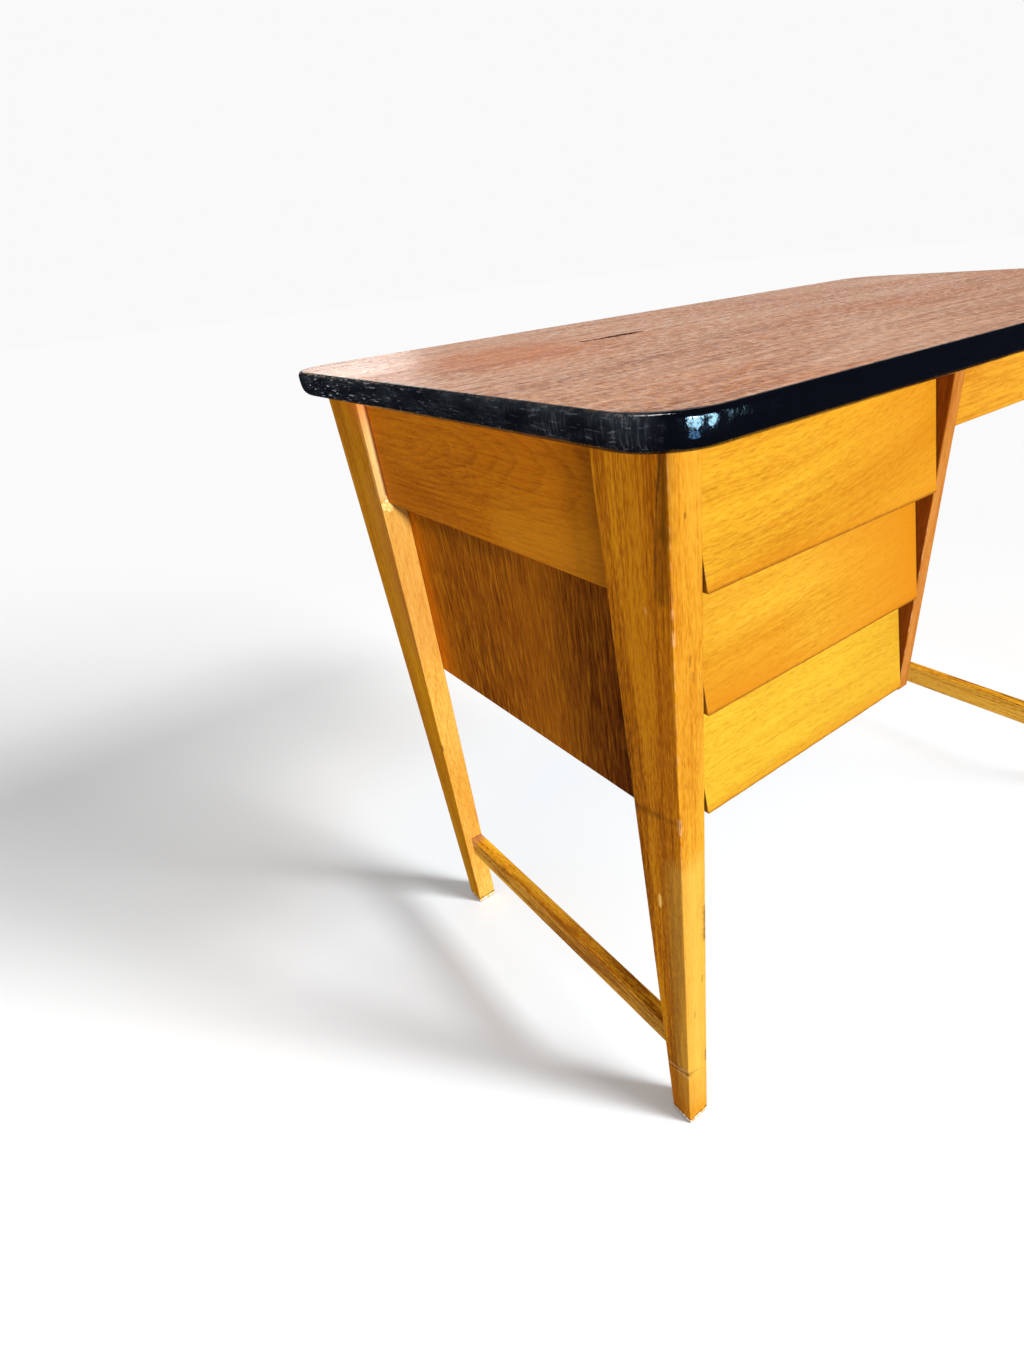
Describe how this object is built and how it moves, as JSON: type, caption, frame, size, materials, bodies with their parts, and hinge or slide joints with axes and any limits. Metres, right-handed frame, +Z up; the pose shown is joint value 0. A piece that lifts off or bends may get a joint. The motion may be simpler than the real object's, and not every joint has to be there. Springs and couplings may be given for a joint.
{
  "type": "writing desk",
  "caption": "Small wooden writing desk on tapered legs with a rounded top, an open kneehole and a hung pedestal of leaning drawers that pull by their undercut edges.",
  "frame": {"origin": "on the floor, under the middle of the top", "axes": "+X along the desk towards the kneehole end, +Y from the front to the rear, +Z up"},
  "size_m": [0.965, 0.561, 0.76],
  "materials": {
    "varnished_beech": "amber clear varnish",
    "stained_panel": "brown stain under varnish",
    "brown_veneer": "satin varnish",
    "black_lacquer": "gloss lacquer, worn",
    "plain_beech": "bare planed wood",
    "plywood": "bare plywood",
    "zinc_steel": "zinc plated"
  },
  "bodies": {
    "frame": {"front_left_leg": "varnished_beech", "rear_left_leg": "varnished_beech", "front_right_leg": "varnished_beech", "rear_right_leg": "varnished_beech", "left_apron": "varnished_beech", "right_apron": "varnished_beech", "rear_apron": "varnished_beech", "front_rail": "varnished_beech", "left_stretcher": "varnished_beech", "right_stretcher": "varnished_beech", "pedestal_right_wall": "varnished_beech", "pedestal_left_panel": "stained_panel", "top_veneer": "brown_veneer", "top_lipping": "black_lacquer", "pedestal_top_front_rail": "plain_beech", "pedestal_top_rear_rail": "plain_beech", "pedestal_bottom_front_rail": "plain_beech", "pedestal_bottom_rear_rail": "plain_beech", "right_batten": "plain_beech", "rear_batten": "plain_beech", "front_corner_block": "plain_beech", "rear_corner_block": "plain_beech", "drawer_1_left_runner": "plain_beech", "drawer_1_right_runner": "plain_beech", "drawer_2_left_runner": "plain_beech", "drawer_2_right_runner": "plain_beech", "drawer_3_left_runner": "plain_beech", "drawer_3_right_runner": "plain_beech", "top_core": "plywood", "pedestal_back": "plywood", "pedestal_top_front_rail_screw_a": "zinc_steel", "pedestal_top_front_rail_screw_b": "zinc_steel", "pedestal_top_rear_rail_screw_a": "zinc_steel", "pedestal_top_rear_rail_screw_b": "zinc_steel", "right_batten_screw_a": "zinc_steel", "right_batten_screw_b": "zinc_steel", "rear_batten_screw_a": "zinc_steel", "rear_batten_screw_b": "zinc_steel"},
    "drawer_1": {"drawer_1_front": "varnished_beech", "drawer_1_left_side": "plain_beech", "drawer_1_right_side": "plain_beech", "drawer_1_back": "plain_beech", "drawer_1_bottom": "plywood"},
    "drawer_2": {"drawer_2_front": "varnished_beech", "drawer_2_left_side": "plain_beech", "drawer_2_right_side": "plain_beech", "drawer_2_back": "plain_beech", "drawer_2_bottom": "plywood"},
    "drawer_3": {"drawer_3_front": "varnished_beech", "drawer_3_left_side": "plain_beech", "drawer_3_right_side": "plain_beech", "drawer_3_back": "plain_beech", "drawer_3_bottom": "plywood"}
  },
  "joints": [
    {"name": "drawer_1_slide", "type": "slide", "parent": "frame", "child": "drawer_1", "axis": [0, -1, 0], "range_m": [0, 0.32]},
    {"name": "drawer_2_slide", "type": "slide", "parent": "frame", "child": "drawer_2", "axis": [0, -1, 0], "range_m": [0, 0.32]},
    {"name": "drawer_3_slide", "type": "slide", "parent": "frame", "child": "drawer_3", "axis": [0, -1, 0], "range_m": [0, 0.32]}
  ]
}
